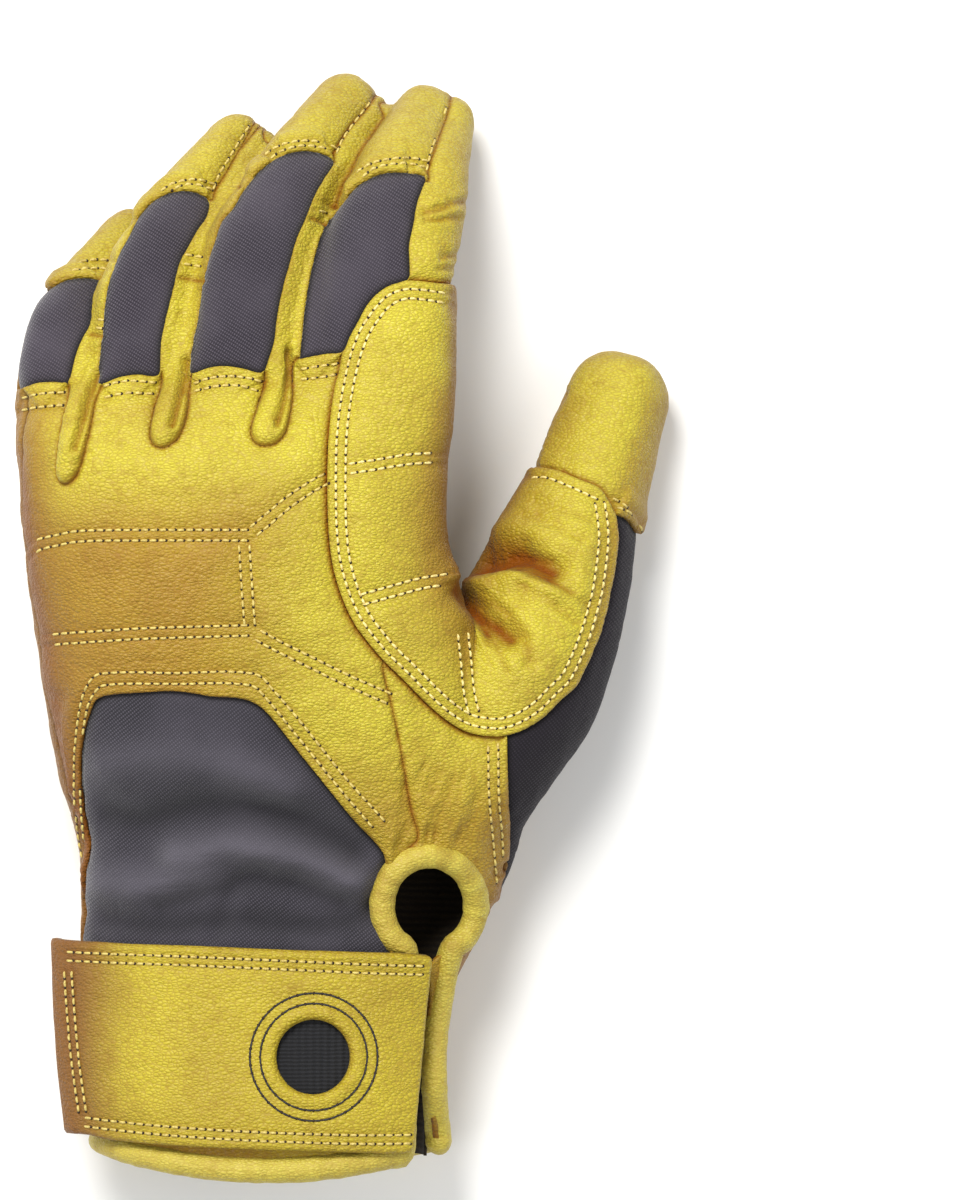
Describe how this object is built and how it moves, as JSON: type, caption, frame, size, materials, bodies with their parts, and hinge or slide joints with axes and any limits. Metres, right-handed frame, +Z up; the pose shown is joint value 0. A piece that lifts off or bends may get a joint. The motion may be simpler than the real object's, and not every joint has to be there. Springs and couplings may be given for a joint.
{
  "type": "climbing glove",
  "caption": "Left-hand climbing glove in yellow goat leather with dark stretch panels, a keyhole cuff and a wrist strap, lying on its palm.",
  "frame": {"origin": "middle of the bottom of the whole glove as it lies on its palm", "axes": "+Z up from the surface that it lies on, +Y along the fingers, +X to the thumb side"},
  "size_m": [0.153, 0.2576, 0.0582],
  "materials": {
    "gold_leather": "soft full-grain goatskin, semi-matt, with fine pores and darker creases",
    "ochre_leather": "the same goatskin on the gripping side, a little darker and smoother",
    "stretch_cloth": "charcoal stretch twill with a fine diagonal",
    "black_knit": "black ribbed knit, matt"
  },
  "bodies": {
    "root": {"cuff_binding": "gold_leather", "little_stretch_back": "stretch_cloth", "little_tip_cap": "gold_leather", "little_front": "ochre_leather", "ring_stretch_back": "stretch_cloth", "ring_tip_cap": "gold_leather", "ring_front": "ochre_leather", "middle_stretch_back": "stretch_cloth", "middle_tip_cap": "gold_leather", "middle_front": "ochre_leather", "index_stretch_back": "stretch_cloth", "index_tip_cap": "gold_leather", "index_front": "ochre_leather", "thumb_tip_cap": "gold_leather", "thumb_stretch_side": "stretch_cloth", "fourchette_little_ring": "gold_leather", "fourchette_ring_middle": "gold_leather", "fourchette_middle_index": "gold_leather", "little_outer_side": "gold_leather", "index_outer_side": "gold_leather", "wrist_stretch_back": "stretch_cloth", "hand_back": "gold_leather", "thumb_shell": "gold_leather", "palm": "ochre_leather", "thumb_web_patch": "gold_leather", "palm_patch": "ochre_leather", "wrist_strap": "gold_leather", "strap_tape": "black_knit", "cuff_lining": "black_knit"}
  },
  "joints": []
}
